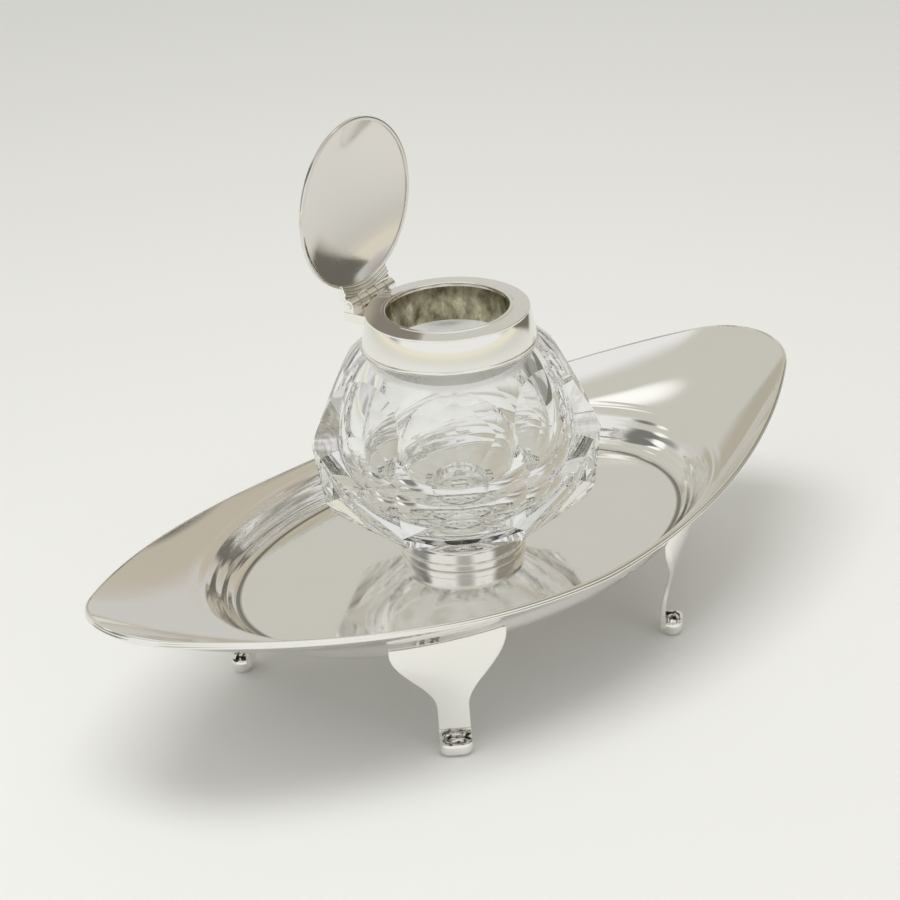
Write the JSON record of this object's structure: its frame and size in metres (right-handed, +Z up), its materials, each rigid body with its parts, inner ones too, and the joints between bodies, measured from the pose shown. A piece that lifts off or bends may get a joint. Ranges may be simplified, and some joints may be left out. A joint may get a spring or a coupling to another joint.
{
  "type": "desk inkstand",
  "caption": "Boat-shaped footed desk inkstand: a silver tray on strap legs carries a faceted glass inkwell with a hinged lid, seated in a low gallery ring.",
  "frame": {"origin": "on the ground under the middle of the tray", "axes": "+X along the tray's length, +Z up, -Y towards the side from which the picture is taken"},
  "size_m": [0.222, 0.1054, 0.1387],
  "materials": {
    "silver": "hand-polished silver with fine wipe marks",
    "tarnished_silver": "rough tarnished silver, olive brown",
    "cut_glass": "clear cut and polished lead glass",
    "plaster": "dry plaster of Paris"
  },
  "bodies": {
    "stand": {"tray": "silver", "tray_edge_wire": "silver", "ring_foot_bead": "silver", "ring_band": "silver", "leg_front_left": "silver", "leg_front_right": "silver", "leg_back_left": "silver", "leg_back_right": "silver", "toe_front_left": "silver", "toe_front_right": "silver", "toe_back_left": "silver", "toe_back_right": "silver"},
    "inkwell": {"glass_well": "cut_glass", "neck_cement": "plaster", "collar_foot_bead": "silver", "collar_band": "silver", "collar_top_plate": "silver", "collar_liner": "tarnished_silver", "hinge_block": "silver", "hinge_pin": "silver"},
    "lid": {"lid": "silver", "lid_hinge_lug": "silver"}
  },
  "joints": [
    {"name": "inkwell_lift", "type": "slide", "parent": "stand", "child": "inkwell", "axis": [0, 0, 1], "range_m": [0, 0.03]},
    {"name": "lid_hinge", "type": "hinge", "parent": "inkwell", "child": "lid", "pos_m": [-0.00481, 0.02341, 0.09333], "axis": [0.9796, 0.2011, 0], "range_deg": [0, 90]}
  ]
}
